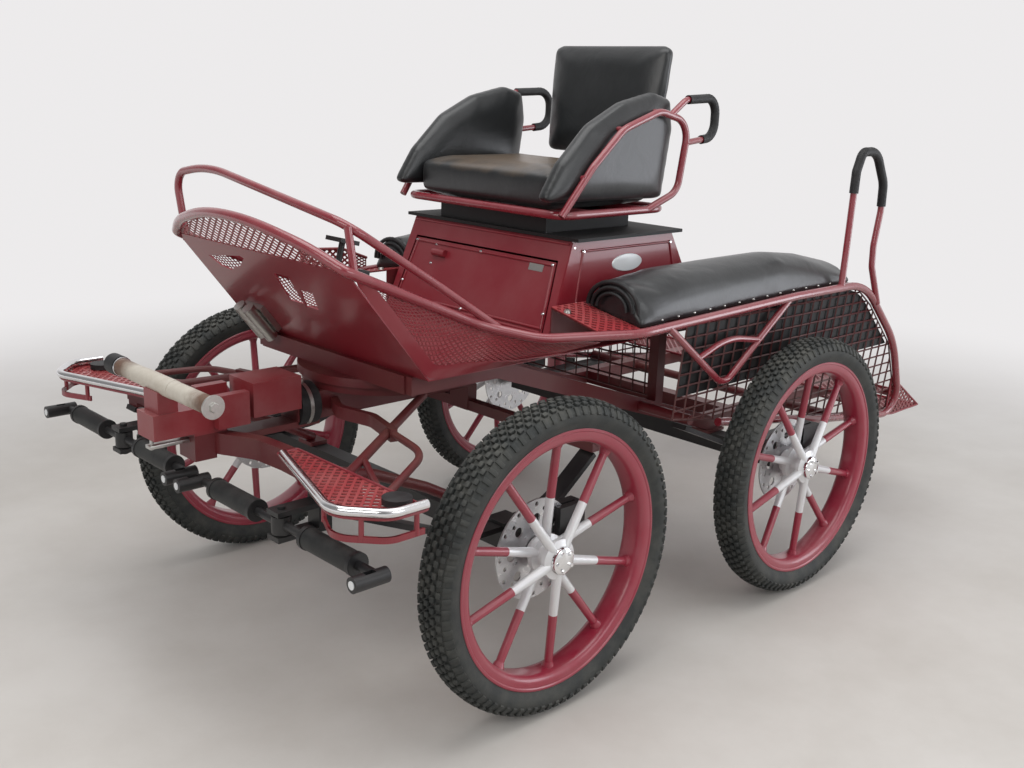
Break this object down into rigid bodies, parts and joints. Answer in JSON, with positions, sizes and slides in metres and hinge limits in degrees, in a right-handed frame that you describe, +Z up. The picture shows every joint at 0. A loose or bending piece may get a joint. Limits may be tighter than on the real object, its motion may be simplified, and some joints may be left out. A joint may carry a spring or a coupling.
{
  "type": "horse drawn carriage",
  "caption": "Low four-wheeled sporting carriage with a steel tube body, padded driver's seat, groom's well behind, turntable fore-carriage, spoked tyred wheels and swingletrees.",
  "frame": {"origin": "on the ground, under the middle of the whole carriage", "axes": "+X forward to the horses, +Y to the carriage's left, +Z up"},
  "size_m": [2.4061, 1.334, 1.404],
  "materials": {
    "red_paint": "gloss",
    "black_paint": "satin",
    "wheel_paint": "gloss rims, spokes half bright",
    "tyre_rubber": "matt",
    "disc_steel": "brushed",
    "worn_paint": "worn, pale",
    "stainless": "bright",
    "black_rubber": "matt",
    "pad_vinyl": "smooth black vinyl",
    "wire_black": "satin",
    "mesh_red": "perforated sheet"
  },
  "bodies": {
    "carriage_body": {"basket_mesh": "wire_black", "body_rail": "red_paint", "brake_cylinders": "black_paint", "brake_pedals": "black_paint", "chassis_frame": "red_paint", "dash_hoop": "red_paint", "dash_mesh": "mesh_red", "footwell": "red_paint", "footwell_sides": "red_paint", "locker_box": "red_paint", "locker_top_plate": "black_paint", "pad_decks": "mesh_red", "platform_floor": "mesh_red", "rear_axle": "black_paint", "rear_calipers": "black_paint", "rear_hoops": "red_paint", "rear_springs": "black_paint", "rear_step": "mesh_red", "right_side_guard": "mesh_red", "seat_back": "pad_vinyl", "seat_cushion": "pad_vinyl", "seat_frame": "red_paint", "seat_pedestal": "black_paint", "seat_wings": "pad_vinyl", "side_pads": "pad_vinyl", "turntable_upper": "red_paint", "well_lining": "black_paint", "wheel_guards": "red_paint"},
    "fore_carriage": {"front_axle": "black_paint", "front_calipers": "black_paint", "fore_frame": "red_paint", "front_springs": "black_paint", "pole_head": "red_paint", "pole_pin": "worn_paint", "front_treads": "mesh_red", "tread_edges": "stainless", "swing_brackets": "red_paint", "bump_rubbers": "black_rubber", "beam_sleeve": "black_rubber"},
    "swing_left": {"swingletree_left": "black_paint"},
    "swing_right": {"swingletree_right": "black_paint"},
    "locker_flap": {"locker_door": "red_paint"},
    "wheel_front_left": {"tyre_front_left": "tyre_rubber", "wheel_front_left": "wheel_paint", "brake_disc_front_left": "disc_steel"},
    "wheel_front_right": {"tyre_front_right": "tyre_rubber", "wheel_front_right": "wheel_paint", "brake_disc_front_right": "disc_steel"},
    "wheel_rear_left": {"tyre_rear_left": "tyre_rubber", "wheel_rear_left": "wheel_paint", "brake_disc_rear_left": "disc_steel"},
    "wheel_rear_right": {"tyre_rear_right": "tyre_rubber", "wheel_rear_right": "wheel_paint", "brake_disc_rear_right": "disc_steel"}
  },
  "joints": [
    {"name": "steering", "type": "hinge", "parent": "carriage_body", "child": "fore_carriage", "pos_m": [0.587, 0, 0.64], "axis": [0, 0, 1], "range_deg": [-30, 30]},
    {"name": "front_left_wheel_spin", "type": "hinge", "parent": "fore_carriage", "child": "wheel_front_left", "pos_m": [0.587, 0.588, 0.343], "axis": [0, 1, 0], "continuous": true},
    {"name": "front_right_wheel_spin", "type": "hinge", "parent": "fore_carriage", "child": "wheel_front_right", "pos_m": [0.587, -0.588, 0.343], "axis": [0, 1, 0], "continuous": true},
    {"name": "rear_left_wheel_spin", "type": "hinge", "parent": "carriage_body", "child": "wheel_rear_left", "pos_m": [-0.352, 0.588, 0.343], "axis": [0, 1, 0], "continuous": true},
    {"name": "rear_right_wheel_spin", "type": "hinge", "parent": "carriage_body", "child": "wheel_rear_right", "pos_m": [-0.352, -0.588, 0.343], "axis": [0, 1, 0], "continuous": true},
    {"name": "left_swingletree_pivot", "type": "hinge", "parent": "fore_carriage", "child": "swing_left", "pos_m": [1.084, 0.338, 0.465], "axis": [0, 0, 1], "range_deg": [-25, 25]},
    {"name": "right_swingletree_pivot", "type": "hinge", "parent": "fore_carriage", "child": "swing_right", "pos_m": [1.084, -0.338, 0.465], "axis": [0, 0, 1], "range_deg": [-25, 25]},
    {"name": "locker_flap_hinge", "type": "hinge", "parent": "carriage_body", "child": "locker_flap", "pos_m": [0.33266, 0, 0.731], "axis": [0, 1, 0], "range_deg": [0, 90]}
  ]
}
